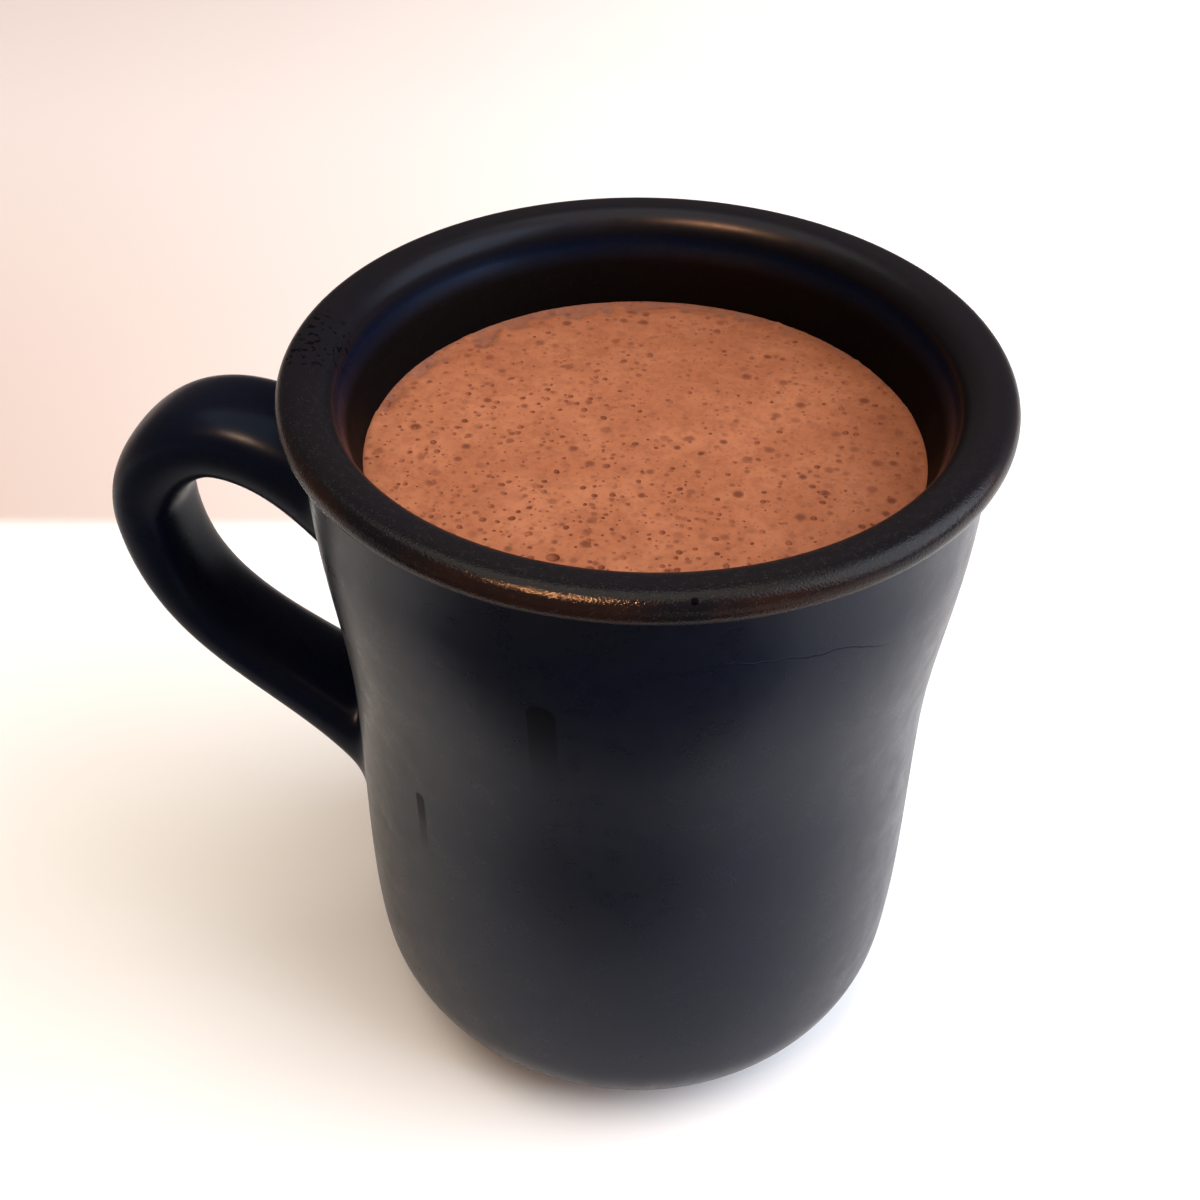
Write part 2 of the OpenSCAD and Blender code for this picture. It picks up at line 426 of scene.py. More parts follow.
def turn_shell(name, outline, sides):
    """A closed shell turned about Z from an outline of (radius, height) points."""
    deselect()
    radius, height = outline[0]
    bpy.ops.mesh.primitive_circle_add(vertices=sides, radius=radius, fill_type="NGON")
    piece = added_object(name)
    bpy.ops.object.mode_set(mode="EDIT")
    bpy.ops.mesh.select_all(action="SELECT")
    bpy.ops.transform.translate(value=(0, 0, height))
    for (r0, z0), (r1, z1) in zip(outline, outline[1:]):
        bpy.ops.mesh.extrude_region_move(TRANSFORM_OT_translate={"value": (0, 0, z1 - z0)})
        bpy.ops.transform.resize(value=(r1 / r0, r1 / r0, 1))
    bpy.ops.mesh.select_all(action="SELECT")
    bpy.ops.mesh.normals_make_consistent(inside=False)
    bpy.ops.object.mode_set(mode="OBJECT")
    return piece


def select_faces(piece, wanted):
    """Leaves edit mode on, with the faces selected for which wanted(centre) is true."""
    activate(piece)
    bpy.ops.object.mode_set(mode="EDIT")
    bpy.ops.mesh.select_mode(type="FACE")
    bpy.ops.mesh.select_all(action="DESELECT")
    mesh = bmesh.from_edit_mesh(piece.data)
    for face in mesh.faces:
        face.select_set(bool(wanted(face.calc_center_median())))
    mesh.select_flush_mode()
    bmesh.update_edit_mesh(piece.data)


def finish_piece(piece, nodes):
    """Smooth shading, and the piece's place in the frame."""
    activate(piece)
    bpy.ops.object.shade_smooth_by_angle(angle=math.radians(40))
    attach(piece, "root")
    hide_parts(*nodes)


# ---------------------------------------------------------------- materials

def add_node(tree, kind, inputs=(), **settings):
    """Adds a node with its settings; each input is a value, or a socket to link from."""
    node = tree.nodes.new(kind)
    for key, value in settings.items():
        setattr(node, key, value)
    for key, value in dict(inputs).items():
        if isinstance(value, bpy.types.NodeSocket):
            tree.links.new(value, node.inputs[key])
        else:
            node.inputs[key].default_value = value
    return node


def new_material(name):
    """An empty material and its node tree."""
    material = bpy.data.materials.new(name)
    material.use_nodes = True
    material.node_tree.nodes.clear()
    return material, material.node_tree


def shade(tree, inputs):
    """Adds a material's shader, with its inputs, and its output."""
    shader = add_node(tree, "ShaderNodeBsdfPrincipled", inputs)
    add_node(tree, "ShaderNodeOutputMaterial", {"Surface": shader.outputs[0]})


def object_place(tree):
    return add_node(tree, "ShaderNodeTexCoord").outputs["Object"]


def arithmetic(tree, operation, *values):
    """A Math node on values or sockets."""
    node = add_node(tree, "ShaderNodeMath", dict(enumerate(values)), operation=operation)
    return node.outputs[0]


def times(tree, a, b):
    return arithmetic(tree, "MULTIPLY", a, b)


def strongest(tree, mask, *others):
    """The largest of several masks."""
    for other in others:
        mask = arithmetic(tree, "MAXIMUM", mask, other)
    return mask


def band(tree, value, low, high, top=1.0):
    """A smooth step of a value from 0 at low to top at high."""
    node = add_node(tree, "ShaderNodeMapRange", {"Value": value, "From Min": low, "From Max": high,
                                                 "To Min": 0.0, "To Max": top},
                    interpolation_type="SMOOTHSTEP")
    return node.outputs["Result"]


def scaled(tree, mask, low, high, start=0.0, end=1.0):
    """A value that goes from low to high as the mask goes from start to end."""
    node = add_node(tree, "ShaderNodeMapRange", {"Value": mask, "From Min": start, "From Max": end,
                                                 "To Min": low, "To Max": high})
    return node.outputs["Result"]


def paint(tree, base, *layers):
    """Lays colours over a base, each given as its mask and its colour."""
    for mask, tone in layers:
        # The Mix node's colours are its inputs 6 and 7 and its output 2
        base = add_node(tree, "ShaderNodeMix", {"Factor": mask, 6: base, 7: tone},
                        data_type="RGBA").outputs[2]
    return base


def grain(tree, place, size, detail=2.0, roughness=0.5):
    """Noise whose blotches are about the given size across."""
    return add_node(tree, "ShaderNodeTexNoise",
                    {"Vector": place, "Scale": 1 / size, "Detail": detail,
                     "Roughness": roughness}).outputs[0]


def distance(tree, place, point):
    return add_node(tree, "ShaderNodeVectorMath", {0: place, 1: point},
                    operation="DISTANCE").outputs["Value"]


def relief(tree, height, strength, depth, **under):
    """The normal of a relief, which lies on that of another where Normal is given."""
    inputs = {"Height": height, "Strength": strength, "Distance": depth, **under}
    return add_node(tree, "ShaderNodeBump", inputs).outputs["Normal"]


class GlazeMasks:
    """Where the glaze is thick, thin, worn, duller or broken, and where shade is painted,
    as masks from 0 to 1.
    """

    # The runs in front: turn from +X in degrees, top, lower end and width
    RUNS = ((-94.7, 87.3 * MM, 71 * MM, 3.4 * MM), (-123.4, 60 * MM, 47 * MM, 1.7 * MM))
    # The hairline: turns of its ends in degrees, rise over the flare's top at its first end,
    # fall from there to its other end, and wander
    HAIRLINE = (-72, -36, 1.8 * MM, 5.6 * MM, 3.0 * MM)
    # Middle of the pinholes on the rim over the handle, and the nick's place with its depth
    # below the rim
    PINHOLES = (-41.5 * MM, -4 * MM)
    NICK = (12.7 * MM, -41.2 * MM, 0.7 * MM)
    # Painted shade towards the handle: where the glaze starts to reflect less, and where least
    HANDLE_SIDE = (-16 * MM, -42 * MM)

    def __init__(self, tree, form):
        s = form.s
        self.tree = tree
        self.form = form
        self.place = place = object_place(tree)
        axes = add_node(tree, "ShaderNodeSeparateXYZ", {0: place}).outputs
        self.level = axes["Z"]
        self.around = arithmetic(tree, "ARCTAN2", axes["Y"], axes["X"])
        flat = add_node(tree, "ShaderNodeCombineXYZ", {"X": axes["X"], "Y": axes["Y"]})
        radius = add_node(tree, "ShaderNodeVectorMath", {0: flat.outputs[0]},
                          operation="LENGTH").outputs["Value"]
        self.mottled = grain(tree, place, 0.9 * MM, 3.0)
        self.rim = band(tree, self.level, form.crease_z, form.crease_z + 1.2 * MM)
        self.front_rim = times(tree, self.rim, band(tree, axes["Y"], 0.0, -26 * MM))
        self.edge = times(tree, band(tree, radius, s.rim_r - 1.4 * MM, s.rim_r - 0.2 * MM),
                          self.rim)
        worn = band(tree, radius, s.rim_r - 3 * MM, s.rim_r - 2 * MM, 0.2)
        self.worn = times(tree, worn, self.front_rim)
        # Painted shade inside the cup: the glaze is darker there and reflects less
        self.within = band(tree, radius, form.bore_r + 2.6 * MM, form.bore_r + 1.6 * MM)
        # Painted shade at the crease under the lip, where the glaze reflects less
        crease_z = form.crease_z
        self.crease = times(tree, band(tree, self.level, crease_z - 1 * MM, crease_z, 0.8),
                            band(tree, self.level, crease_z + 1.6 * MM, crease_z + 0.6 * MM))
        # Painted shade: the glaze reflects less towards the handle
        self.handle_side = band(tree, axes["X"], *self.HANDLE_SIDE, 0.45)
        self.run = strongest(tree, *[self.drip(*run) for run in self.RUNS])
        self.holes = self.pits()
        self.hairline = self.crack(*self.HAIRLINE)

    def drip(self, turn, top, bottom, width):
        """A run of thicker glaze with a round top, which fades out downwards."""
        tree = self.tree
        aside = arithmetic(tree, "SUBTRACT", self.around, math.radians(turn))
        aside = times(tree, aside, self.form.waist_r)
        over = strongest(tree, arithmetic(tree, "SUBTRACT", self.level, top - width / 2), 0.0)
        squares = [times(tree, value, value) for value in (aside, over)]
        away = arithmetic(tree, "SQRT", arithmetic(tree, "ADD", *squares))
        run = band(tree, away, width / 2 + 0.2 * MM, width / 2 - 0.3 * MM)
        return times(tree, run, band(tree, self.level, bottom, top))

    def crack(self, start, end, rise, fall, wander):
        """A fine wandering line in the glaze below the rim, at the front and right."""
        tree = self.tree
        start, end = math.radians(start), math.radians(end)
        along = arithmetic(tree, "DIVIDE", arithmetic(tree, "SUBTRACT", self.around, start),
                           end - start)
        low = times(tree, times(tree, along, along), fall)
        line = arithmetic(tree, "SUBTRACT", self.form.flare_top_z + rise, low)
        sway = arithmetic(tree, "SUBTRACT", grain(tree, self.place, 7 * MM, 5.0), 0.5)
        line = arithmetic(tree, "ADD", line, times(tree, sway, wander))
        away = arithmetic(tree, "ABSOLUTE", arithmetic(tree, "SUBTRACT", self.level, line))
        inside = times(tree, band(tree, along, 0.0, 0.2), band(tree, along, 1.0, 0.8))
        return times(tree, band(tree, away, 0.22 * MM, 0.05 * MM), inside)

    def pits(self):
        """Pinholes where the glaze boiled, and one nick."""
        tree, top = self.tree, self.form.s.height
        near = band(tree, distance(tree, self.place, (*self.PINHOLES, top)), 8 * MM, 5 * MM)
        x, y, depth = self.NICK
        nick = distance(tree, self.place, (x, y, top - depth))
        return strongest(tree, times(tree, near, band(tree, self.mottled, 0.56, 0.62)),
                         band(tree, nick, 0.55 * MM, 0.35 * MM))


def glaze_colour(tree, look, masks):
    """Nearly black, browner on the rim, with fine specks and dark faults, and painted shade
    inside the cup.
    """
    clouds = grain(tree, masks.place, 9 * MM, 4.0)
    # Specks of 0.2 mm, the coarsest of those in the glaze
    specks = add_node(tree, "ShaderNodeTexVoronoi", {"Vector": masks.place,
                                                     "Scale": 1 / (0.3 * MM)})
    speck = band(tree, specks.outputs["Distance"], 0.46, 0.12)
    speck = times(tree, speck, band(tree, masks.mottled, 0.42, 0.62))
    speck = times(tree, speck, scaled(tree, masks.front_rim, 0.03, 0.15))
    thin = times(tree, masks.edge, band(tree, clouds, 0.35, 0.65, 0.5))
    return paint(tree, look.glaze,
                 (band(tree, clouds, 0.35, 0.7, 0.5), linear("#101116")),
                 (times(tree, masks.rim, 0.7), linear("#15110f")),
                 (masks.within, linear("#080606")),
                 (thin, look.glaze_warm),
                 (speck, look.speck),
                 (strongest(tree, masks.holes, times(tree, masks.run, 0.7)), linear("#050507")))


def glaze_roughness(tree, masks):
    """Satin, rougher on the rim, in the runs and inside, and smoother where the rim is worn."""
    smear = grain(tree, masks.place, 4 * MM, 5.0, 0.6)
    rough = arithmetic(tree, "ADD", times(tree, masks.rim, 0.05),
                       scaled(tree, smear, 0.25, 0.34, 0.3, 0.7))
    rough = arithmetic(tree, "ADD", rough, times(tree, masks.run, 0.12))
    rough = arithmetic(tree, "SUBTRACT", rough, masks.worn)
    return arithmetic(tree, "MULTIPLY_ADD", masks.within, 0.25, rough)


def glaze_relief(tree, masks):
    """Runs and faults, then a faint orange peel, then grit, most on the front of the rim."""
    faults = arithmetic(tree, "ADD", masks.holes, masks.hairline)
    shape = relief(tree, arithmetic(tree, "SUBTRACT", masks.run, faults), 0.4, 0.04 * MM)
    peel = relief(tree, grain(tree, masks.place, 1.3 * MM), 0.12, 0.05 * MM, Normal=shape)
    return relief(tree, grain(tree, masks.place, 0.25 * MM),
                  scaled(tree, masks.front_rim, 0.03, 0.7), 0.08 * MM, Normal=peel)


def glaze_material(look, form):
    """Satin black glaze on stoneware, fired: a dark, softly mirroring coat with fine specks,
    thin and brown where it ran off the edge of the rim, with two thick runs on the wall."""
    material, tree = new_material("satin_black_glaze")
    masks = GlazeMasks(tree, form)
    # Inside the cup the reflections are tinted warm, a painted reflection of the drink
    tint = paint(tree, linear("#b2d4ff"),
                 (times(tree, masks.rim, 0.6), linear("#ece4da")),
                 (masks.front_rim, linear("#e4e2d2")),
                 (masks.within, linear("#ffcba4")))
    # The glaze reflects less in its runs and faults, which are duller, and as painted shade
    #     inside the cup, at the crease under the lip and towards the handle
    dull = strongest(tree, times(tree, masks.within, 0.82), times(tree, masks.run, 0.7),
                     masks.crease, masks.handle_side, times(tree, masks.hairline, 0.6),
                     times(tree, masks.holes, 0.8))
    shade(tree, {"Base Color": glaze_colour(tree, look, masks),
                 "Roughness": glaze_roughness(tree, masks), "IOR": 1.4,
                 "Specular IOR Level": scaled(tree, dull, 0.165, 0.0),
                 "Specular Tint": tint, "Normal": glaze_relief(tree, masks)})
    return material


def clay_material(look):
    """Bare stoneware, fired and wiped clean of glaze where it stands: matte, sandy, with
    darker iron specks."""
    material, tree = new_material("bare_stoneware")
    place = object_place(tree)
    iron = band(tree, grain(tree, place, 0.8 * MM, 1.0), 0.62, 0.7, 0.7)
    shade(tree, {"Base Color": paint(tree, look.clay, (iron, linear("#4a3628"))),
                 "Roughness": 0.85,
                 "Normal": relief(tree, grain(tree, place, 0.5 * MM, 3.0), 0.5, 0.06 * MM)})
    return material


def soft_spots(tree, place, cell, size, strength):
    """Closed bubbles just under the surface: soft round spots of uneven size, one to a cell."""
    cells = add_node(tree, "ShaderNodeTexVoronoi", {"Vector": place, "Scale": 1 / cell},
                     voronoi_dimensions="2D")
    dice = add_node(tree, "ShaderNodeSeparateColor", {0: cells.outputs["Color"]})
    radius = arithmetic(tree, "MULTIPLY_ADD", dice.outputs[0], size / cell, 0.01)
    share = arithmetic(tree, "DIVIDE", cells.outputs["Distance"], radius)
    return times(tree, band(tree, share, 1.0, 0.3, strength),
                 arithmetic(tree, "POWER", dice.outputs[1], 1.5))


# The closed bubbles' cells and sizes in mm, and how strongly they show
SPOTS = ((2.6, 1.05, 1.0), (1.5, 0.6, 0.8), (0.8, 0.3, 0.5))


def froth_material(look):
    """Whisked cocoa froth: milky, moist and soft, with bubbles too fine to open, and a thin darker
    film where it leaves the wall; with painted shade of the wall towards the back and right."""
    material, tree = new_material("cocoa_froth")
    place = object_place(tree)
    patches = grain(tree, place, 9 * MM, 3.0, 0.6)
    foam = grain(tree, place, 1.1 * MM, 3.0, 0.6)
    spots = [(soft_spots(tree, place, cell * MM, size * MM, strength), look.cocoa)
             for cell, size, strength in SPOTS]
    # Painted shade of the cup's wall: the froth is darker towards the back and right
    axes = add_node(tree, "ShaderNodeSeparateXYZ", {0: place}).outputs
    thin = strongest(tree, band(tree, axes["Y"], 4 * MM, 34 * MM, 0.32),
                     band(tree, axes["X"], 10 * MM, 34 * MM, 0.28))
    bare = add_node(tree, "ShaderNodeAttribute", attribute_name="bare_liquid").outputs["Fac"]
    base = paint(tree, look.froth,
                 (band(tree, patches, 0.38, 0.66), look.froth_pale),
                 *spots,
                 (band(tree, foam, 0.6, 0.35, 0.25), look.cocoa),
                 (thin, look.cocoa),
                 (times(tree, bare, band(tree, foam, 0.3, 0.65, 0.8)), look.film))
    shade(tree, {"Base Color": base, "Roughness": 0.5, "IOR": 1.35, "Subsurface Weight": 0.25,
                 "Subsurface Scale": 0.6 * MM, "Subsurface Radius": (1.0, 0.45, 0.25),
                 "Normal": relief(tree, foam, 0.35, 0.12 * MM)})
    return material


def bubble_material(look):
    """The wet inside of an open bubble: darker cocoa, moist but hardly glossy."""
    material, tree = new_material("bubble_wall")
    tone = grain(tree, object_place(tree), 2.5 * MM)
    shade(tree, {"Base Color": paint(tree, look.cocoa,
                                     (band(tree, tone, 0.3, 0.7), linear("#8a4c2e"))),
                 "Roughness": 0.7, "IOR": 1.33, "Specular IOR Level": 0.3})
    return material


# ---------------------------------------------------------------- mug

class MESH_OT_glazed_mug(bpy.types.Operator):
    """Turn the mug's body, pull its handle and join them with fillets"""

    bl_idname = "mesh.glazed_mug"
    bl_label = "Glazed Mug"

    # The handle's section has 24 points, and each of its roots takes 6 by 6 faces of the wall
    TURNS = [2 * math.pi * k / 24 for k in range(24)]
    BLOCK = 6

    def execute(self, context):
        mug = MugForm(context.scene.mug_sizes)
        handle = HandleForm(context.scene.handle_sizes, mug)
        roots = [(handle.footprint(self.TURNS, handle.s.root_fillet, True), True),
                 (handle.footprint(self.TURNS, handle.s.tail_fillet, False), False)]
        body = self.body(mug, [prints for prints, _ in roots])
        for prints, _ in roots:
            self.open_wall(body, mug, prints)
        tube = self.tube(handle)
        activate(tube)
        body.select_set(True)
        context.view_layer.objects.active = body
        bpy.ops.object.join()
        middle_z = (max(p.z for p in roots[1][0]) + min(p.z for p in roots[0][0])) / 2
        for _, upper in roots:
            self.bridge(body, middle_z, upper)
        apply_modifier(body, "SUBSURF", "smooth", levels=mug.s.smoothing,
                       render_levels=mug.s.smoothing)
        self.dress(body, mug, context.scene.finish)
        finish_piece(body, ["mug"])
        return {"FINISHED"}

    def rows(self, prints):
        """Heights of the wall's loops across one root of the handle."""
        heights = [p.z for p in prints]
        return spread(min(heights), max(heights), self.BLOCK)

    def body(self, mug, roots):
        """The body without its handle, with loops where the handle's roots will be."""
        upper, lower = (self.rows(prints) for prints in roots)
        between = spread(lower[-1], upper[0], 4)[1:-1]
        above = spread(upper[-1], mug.crease_z - 0.9 * MM, 5)[1:]
        below = spread(mug.base_z, lower[0], 3)[:-1]
        wall = [(mug.wall_r(z), z) for z in below + lower + between + upper + above]
        outline = mug.underside() + mug.base() + wall + mug.rim() + mug.inside()
        # Smoothing draws a ring of sides in by this much
        grown = 3 / (2 + math.cos(2 * math.pi / mug.s.sides))
        return turn_shell("glazed_mug", [(r * grown, z) for r, z in outline], mug.s.sides)

    def open_wall(self, body, mug, prints):
        """Opens the wall under one root of the handle, with the opening's edge on the prints."""
        low, high = min(p.z for p in prints), max(p.z for p in prints)
        half_turn = (self.BLOCK / 2) * 2 * math.pi / mug.s.sides
        skin = (mug.throat_r + mug.waist_r) / 2

        def under_root(p):
            turn = abs(math.atan2(p.y, -p.x))
            return low < p.z < high and turn < half_turn and math.hypot(p.x, p.y) > skin

        select_faces(body, under_root)
        bpy.ops.mesh.region_to_loop()
        mesh = bmesh.from_edit_mesh(body.data)
        edge = [v for v in mesh.verts if v.select]
        middle = Vector((0, (low + high) / 2))
        edge.sort(key=lambda v: self.bearing(v.co, middle))
        prints = sorted(prints, key=lambda p: self.bearing(p, middle))
        for vertex, target in zip(edge, prints, strict=True):
            vertex.co = target
        bmesh.update_edit_mesh(body.data)
        bpy.ops.mesh.loop_to_region()
        bpy.ops.mesh.select_mode(type="FACE")
        bpy.ops.mesh.delete(type="FACE")
        bpy.ops.object.mode_set(mode="OBJECT")

    def bearing(self, p, middle):
        """Angle of a point round the middle of a root, seen from outside the wall."""
        return (math.atan2(p.z - middle.y, p.y) + 0.001) % (2 * math.pi)

    def tube(self, handle):
        """The handle's tube, whose ends follow the wall at the height of the fillets."""
        rings = handle.s.rings
        deselect()
        bpy.ops.mesh.primitive_circle_add(vertices=len(self.TURNS), radius=1, fill_type="NOTHING")
        tube = added_object("handle")
        bpy.ops.object.mode_set(mode="EDIT")
        bpy.ops.mesh.select_mode(type="EDGE")
        bpy.ops.mesh.select_all(action="SELECT")
        for _ in range(rings):
            bpy.ops.mesh.extrude_region_move(TRANSFORM_OT_translate={"value": (0, 0, 1)})
        bpy.ops.object.mode_set(mode="OBJECT")
        starts = [handle.crossing(turn, handle.s.root_fillet, True) for turn in self.TURNS]
        ends = [handle.crossing(turn, handle.s.tail_fillet, False) for turn in self.TURNS]
        for vertex in tube.data.vertices:
            turn = math.atan2(vertex.co.y, vertex.co.x) / (2 * math.pi)
            k = round(turn * len(self.TURNS)) % len(self.TURNS)
            share = mix(starts[k], ends[k], round(vertex.co.z) / rings)
            vertex.co = handle.surface(share, self.TURNS[k])
        return tube

    def bridge(self, body, middle_z, upper):
        """Joins the tube to the opening above or below the middle height."""
        activate(body)
        bpy.ops.object.mode_set(mode="EDIT")
        bpy.ops.mesh.select_mode(type="EDGE")
        bpy.ops.mesh.select_all(action="DESELECT")
        mesh = bmesh.from_edit_mesh(body.data)
        for edge in mesh.edges:
            above = (edge.verts[0].co.z + edge.verts[1].co.z) / 2 > middle_z
            edge.select_set(edge.is_boundary and above == upper)
        bmesh.update_edit_mesh(body.data)
        bpy.ops.mesh.bridge_edge_loops()
        bpy.ops.mesh.select_all(action="SELECT")
        bpy.ops.mesh.normals_make_consistent(inside=False)
        bpy.ops.object.mode_set(mode="OBJECT")

    def dress(self, body, mug, look):
        """Glaze all over, and bare clay where the foot ring stands."""
        body.data.materials.append(glaze_material(look, mug))
        body.data.materials.append(clay_material(look))
        edge = 0.4 * MM
        for face in body.data.polygons:
            radius = math.hypot(face.center.x, face.center.y)
            on_ring = mug.s.foot_r - mug.s.foot_w - edge < radius < mug.s.foot_r + edge
            face.material_index = int(on_ring and face.center.z < edge)


# ---------------------------------------------------------------- drink

class FrothForm:
    """The surface of the froth: its unevenness, its bare edge and its bubbles."""

    def __init__(self, s, mug):
        self.s = s
        self.radius = mug.bore_at(s.level)

    def bare(self, x, y):
        """How bare of froth the liquid is at a place, from 0 to 1."""
        s = self.s
        gap = self.radius - math.hypot(x, y)
        turn = math.atan2(y, x)
        # The strip is widest at the back, which lies towards 115 degrees
        back = max(0, math.cos((turn - math.radians(115)) * 0.8)) ** 1.5
        ragged = noise.noise(Vector((x, y, 0)) / (3.4 * MM)) * 0.7
        ragged += noise.noise(Vector((x, y, 9 * MM)) / (1.3 * MM)) * 0.45
        width = s.margin * back * (0.55 + ragged)
        return ease((width - gap) / (1.2 * MM) + 0.5)

    def height(self, x, y):
        """Height of the surface over the level, never above it."""
        s = self.s
        slow = noise.noise(Vector((x, y, 3 * MM)) / (13 * MM))
        quick = noise.noise(Vector((x, y, 6 * MM)) / (2.6 * MM))
        gap = self.radius - math.hypot(x, y)
        creep = 0.25 * MM * ease(1 - gap / (1.2 * MM))
        low = s.swell * (0.5 - 0.5 * slow) + 0.07 * MM * (0.5 - 0.5 * quick)
        return creep - 0.25 * MM - low - s.lift * self.bare(x, y)

    def crowding(self, x, y):
        """How many bubbles a place has, from 0 to 1: most towards the front and left."""
        towards = (-0.35 * x - 0.94 * y) / self.radius
        patch = 0.5 + 0.5 * noise.noise(Vector((x, y, 0)) / (6 * MM))
        return min(1, max(0.1, 0.36 + 0.75 * towards)) * (0.35 + 0.65 * patch)

    def bubbles(self):
        """Places and diameters of the open bubbles."""
        s = self.s
        dice = random.Random(s.seed)
        found = []
        # A few burst bubbles crowd against the front wall, in millimetres
        for x, y, size in ((-5.9, -24.2, 1.9), (-1.4, -25.2, 1.3), (-9.6, -20.6, 1.1),
                           (-8.3, -24.8, 1.0), (2.8, -25.8, 1.0), (-15.5, -19.2, 1.1)):
            found.append((x * MM, y * MM, size * MM, 0))
        while len(found) < s.bubbles:
            radius = self.radius * math.sqrt(dice.random())
            turn = dice.uniform(0, 2 * math.pi)
            x, y = radius * math.cos(turn), radius * math.sin(turn)
            if dice.random() > self.crowding(x, y) or radius > self.radius - 0.5 * MM:
                continue
            size = mix(s.small, s.large, dice.random() ** 1.7)
            apart = [math.hypot(x - a, y - b) - 0.55 * (size + c) for a, b, c, _ in found]
            if min(apart) > 0:
                found.append((x, y, size, dice.uniform(0, math.pi)))
        return found


class MESH_OT_hot_chocolate(bpy.types.Operator):
    """Fill the mug with the drink and open the bubbles of its froth"""

    bl_idname = "mesh.hot_chocolate"
    bl_label = "Hot Chocolate"

    # How far a bubble's middle lies over the froth, as a share of its diameter
    RISE = 0.15

    def execute(self, context):
        look = context.scene.finish
        mug = MugForm(context.scene.mug_sizes)
        froth = FrothForm(context.scene.froth_sizes, mug)
        drink = self.block(froth)
        self.cut_to_bore(drink, mug, froth)
        self.raise_froth(drink, froth)
        drink.data.materials.clear()
        drink.data.materials.append(froth_material(look))
        drink.data.materials.append(bubble_material(look))
        self.open_bubbles(drink, froth)
        self.mark_bare(drink, froth)
        finish_piece(drink, ["hot_chocolate"])
        return {"FINISHED"}

    def block(self, froth):
        """A block whose top is a fine grid at the drink's level."""
        s = froth.s
        size = 2 * (froth.radius + 3 * s.bite)
        cells = round(size / s.cell)
        deselect()
        bpy.ops.mesh.primitive_grid_add(x_subdivisions=cells, y_subdivisions=cells, size=size,
                                        location=(0, 0, 0))
        drink = added_object("hot_chocolate_froth")
        bpy.ops.object.mode_set(mode="EDIT")
        bpy.ops.mesh.select_mode(type="FACE")
        bpy.ops.mesh.select_all(action="SELECT")
        bpy.ops.transform.translate(value=(0, 0, s.level))
        bpy.ops.mesh.region_to_loop()
        bpy.ops.mesh.extrude_region_move(TRANSFORM_OT_translate={"value": (0, 0, -s.level)})
        bpy.ops.mesh.edge_face_add()
        bpy.ops.mesh.select_all(action="SELECT")
        bpy.ops.mesh.normals_make_consistent(inside=False)
        bpy.ops.object.mode_set(mode="OBJECT")
        return drink

    def cut_to_bore(self, drink, mug, froth):
        """Keeps what lies in the bore, and just into its wall."""
        bite = froth.s.bite
        outline = [(r + bite, max(z - bite, mug.floor_z - bite)) for r, z in mug.inside()[::-1]]
        top = froth.s.level + 4 * MM
        outline = [p for p in outline if p[1] < top]
        outline.append((mug.bore_at(top) + bite, top))
        bore = turn_shell("bore", outline, 2 * mug.s.sides)
        apply_modifier(drink, "BOOLEAN", "bore", operation="INTERSECT", solver="MANIFOLD",
                       object=bore)
        bpy.data.objects.remove(bore)

    def raise_froth(self, drink, froth):
        """Gives the flat surface the froth's unevenness."""
        for vertex in drink.data.vertices:
            if vertex.co.z > froth.s.level - 0.01 * MM:
                vertex.co.z += froth.height(vertex.co.x, vertex.co.y)

    def open_bubbles(self, drink, froth):
        """Opens the bubbles, all from one bubble that is copied, turned and sized."""
        deselect()
        bpy.ops.mesh.primitive_uv_sphere_add(segments=12, ring_count=8, radius=0.5)
        bubble = added_object("bubble")
        shape = bubble.data
        shape.materials.append(drink.data.materials[0])
        shape.materials.append(drink.data.materials[1])
        for face in shape.polygons:
            face.material_index = 1
        copies = []
        for x, y, size, turn in froth.bubbles():
            copy = bpy.data.objects.new("bubble", shape.copy())
            surface = froth.s.level + froth.height(x, y)
            sunk = Matrix.Translation((x, y, surface + size * self.RISE))
            squeeze = Matrix.Diagonal((size, size * 0.88, size * 0.7, 1))
            copy.data.transform(sunk @ Matrix.Rotation(turn, 4, "Z") @ squeeze)
            bpy.context.scene.collection.objects.link(copy)
            copies.append(copy)
        bpy.data.objects.remove(bubble)
        activate(copies[0])
        for copy in copies:
            copy.select_set(True)
        bpy.ops.object.join()
        cutter = copies[0]
        apply_modifier(drink, "BOOLEAN", "bubbles", operation="DIFFERENCE", solver="MANIFOLD",
                       object=cutter)
        bpy.data.objects.remove(cutter)

    def mark_bare(self, drink, froth):
        """Keeps how bare each point of the surface is, for the froth's colour."""
        marks = drink.data.attributes.new("bare_liquid", "FLOAT", "POINT")
        for vertex, mark in zip(drink.data.vertices, marks.data):
            mark.value = froth.bare(vertex.co.x, vertex.co.y)


# ---------------------------------------------------------------- stage

